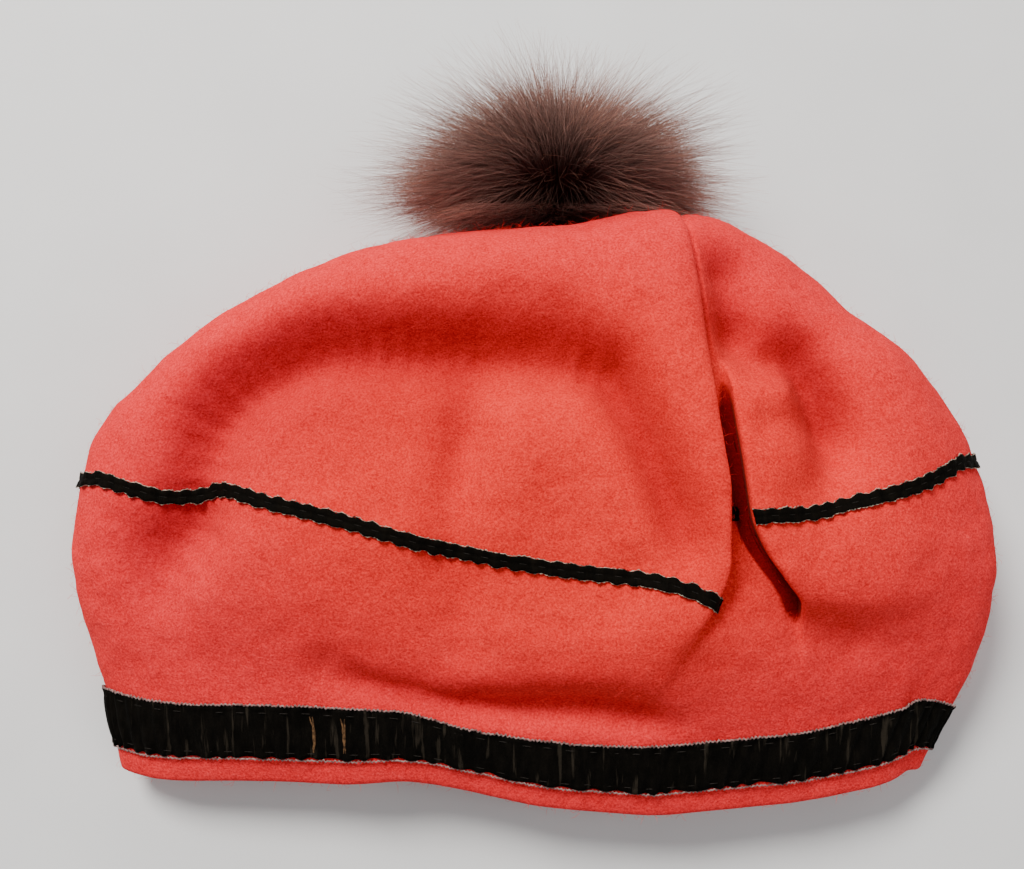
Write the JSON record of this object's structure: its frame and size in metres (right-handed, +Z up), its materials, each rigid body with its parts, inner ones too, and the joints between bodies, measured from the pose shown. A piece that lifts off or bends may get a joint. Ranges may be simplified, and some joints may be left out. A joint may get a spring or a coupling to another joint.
{
  "type": "felted wool hat",
  "caption": "Soft felted wool beret-style hat lying flat, with an open brim, velvet ribbon trim, a lapped pleat and a fur pompom tied to the crown.",
  "frame": {"origin": "centre of the hat's outline, on the surface that it lies on", "axes": "+X along the brim, with the pleat on the +X side, +Y from the brim's opening towards the crown and the pompom, +Z up from the surface that the hat lies on"},
  "size_m": [0.29, 0.24, 0.0728],
  "materials": {
    "felt": "soft felted wool, matt, slightly fuzzy",
    "felt_thread": "matt sewing thread",
    "velvet": "short velvet pile with a greyish woven edge",
    "white_thread": "matt sewing thread",
    "grosgrain": "ribbed woven ribbon",
    "button": "polished",
    "cord": "twisted cord",
    "pelt": "dark dyed skin",
    "stuffing": "soft fibre fill",
    "fur": "long soft fur, dark brown with russet guard hairs"
  },
  "bodies": {
    "root": {"felt_body": "felt", "pleat_tack_stitches": "felt_thread", "wide_velvet_band": "velvet", "band_upper_stitches": "white_thread", "band_lower_stitches": "white_thread", "narrow_velvet_ribbon": "velvet", "narrow_ribbon_stitches": "white_thread", "sweatband": "grosgrain", "sweatband_stitches": "felt_thread"},
    "pompom_anchor": {"pompom_button": "button"},
    "pompom_tie": {"pompom_tie_cord": "cord"},
    "pompom": {"pompom_gather_thread": "cord", "pompom_pelt": "pelt", "pompom_stuffing": "stuffing", "pompom_fur": "fur"}
  },
  "joints": [
    {"name": "pompom_twist", "type": "hinge", "parent": "root", "child": "pompom_anchor", "pos_m": [0.0086, 0.0645, 0.029], "axis": [0, 1, 0], "range_deg": [-45, 45]},
    {"name": "pompom_side_tilt", "type": "hinge", "parent": "pompom_anchor", "child": "pompom_tie", "pos_m": [0.0086, 0.0645, 0.029], "axis": [0, 0, 1], "range_deg": [-15, 15]},
    {"name": "pompom_lift_tilt", "type": "hinge", "parent": "pompom_tie", "child": "pompom", "pos_m": [0.0086, 0.0645, 0.029], "axis": [1, 0, 0], "range_deg": [-12, 12]}
  ]
}
